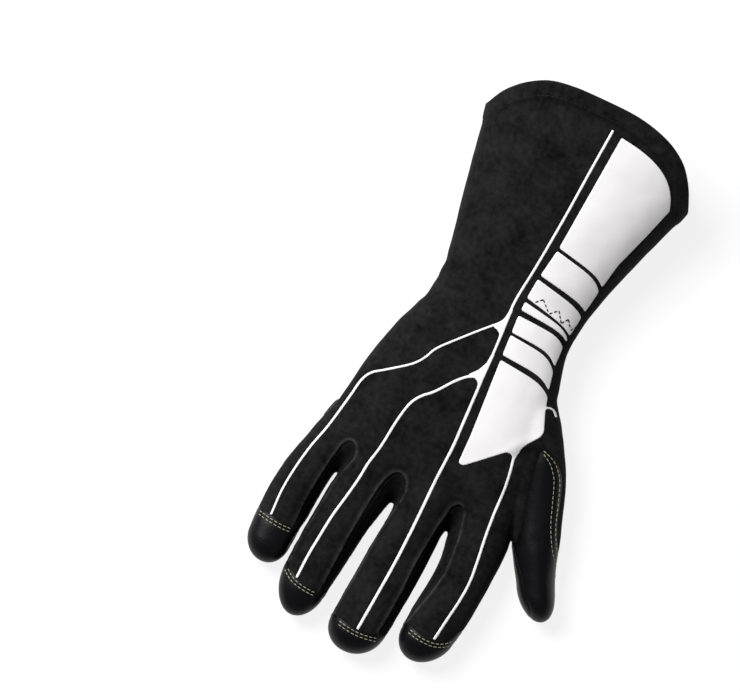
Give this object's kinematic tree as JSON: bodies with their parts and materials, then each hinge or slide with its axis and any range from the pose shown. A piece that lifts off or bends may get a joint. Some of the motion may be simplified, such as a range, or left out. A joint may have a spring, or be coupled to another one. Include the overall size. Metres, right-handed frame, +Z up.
{
  "type": "racing glove",
  "caption": "Right-hand racing glove with a flared gauntlet cuff, brushed cloth back, leather palm and thumb, palm patches and plain white print, lying palm down.",
  "frame": {"origin": "middle of the underside of the whole glove's box, on the surface that it lies on", "axes": "+Z up from the palm to the back of the hand, +Y from the cuff to the fingertips, +X to the little finger's side, the thumb at -X"},
  "size_m": [0.1618, 0.3168, 0.0657],
  "materials": {
    "brushed_cloth": "near-black brushed cloth with a soft nap",
    "cuff_cloth": "black cloth with a faint blue cast",
    "leather": "smooth black fine-grained leather with a soft gloss",
    "white_print": "off-white raised print with a faint sheen",
    "thread": "cream sewing thread, and the same thread in black"
  },
  "bodies": {
    "root": {"back_panel": "brushed_cloth", "cuff_palm_panel": "cuff_cloth", "palm_leather": "leather", "thumb_leather": "leather", "gusset_little_ring": "brushed_cloth", "gusset_ring_middle": "brushed_cloth", "gusset_middle_index": "brushed_cloth", "heel_patch": "leather", "grip_patch": "leather", "knuckle_patch": "leather", "side_block_1": "white_print", "side_block_2": "white_print", "side_block_3": "white_print", "side_block_4": "white_print", "side_block_5": "white_print", "side_block_6": "white_print", "side_block_7": "white_print", "finger_stripes": "white_print"}
  },
  "joints": []
}
